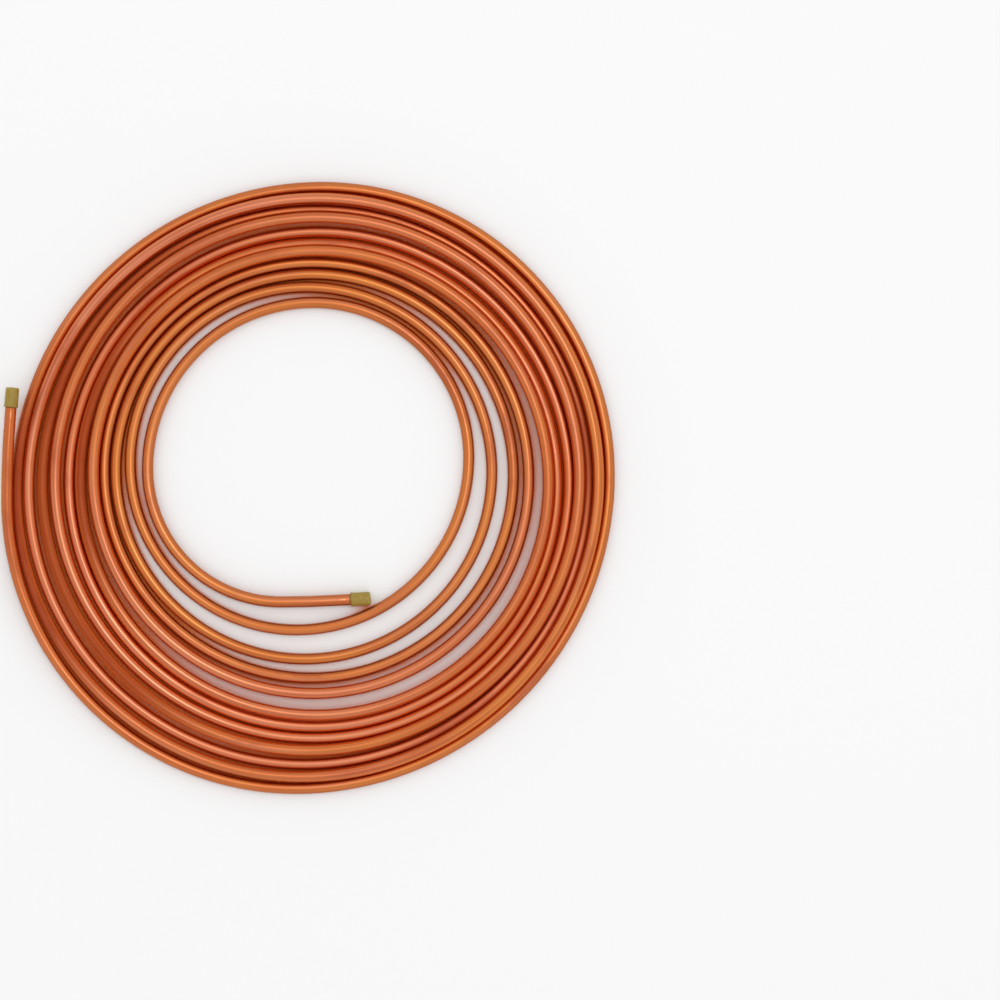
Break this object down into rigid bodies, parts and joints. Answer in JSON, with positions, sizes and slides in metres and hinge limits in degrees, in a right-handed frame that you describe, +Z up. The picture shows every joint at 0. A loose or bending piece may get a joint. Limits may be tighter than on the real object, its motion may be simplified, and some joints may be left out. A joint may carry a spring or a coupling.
{
  "type": "copper tube coil",
  "caption": "Flat coil of soft copper tube, wound as one spiral with an open eye and a plastic cap on each end.",
  "frame": {"origin": "middle of the coil's outline, on the floor that it lies on", "axes": "+Z up, along the winding's axis; +X towards the side where the inner end points; +Y away from the side where the inner end lies"},
  "size_m": [0.518, 0.5184, 0.0233],
  "materials": {
    "copper": "drawn soft copper, satin, lightly tarnished",
    "cap_plastic": "soft moulded plastic, yellow-green"
  },
  "bodies": {
    "root": {"copper_tube": "copper", "outer_end_cap": "cap_plastic", "inner_end_cap": "cap_plastic"}
  },
  "joints": []
}
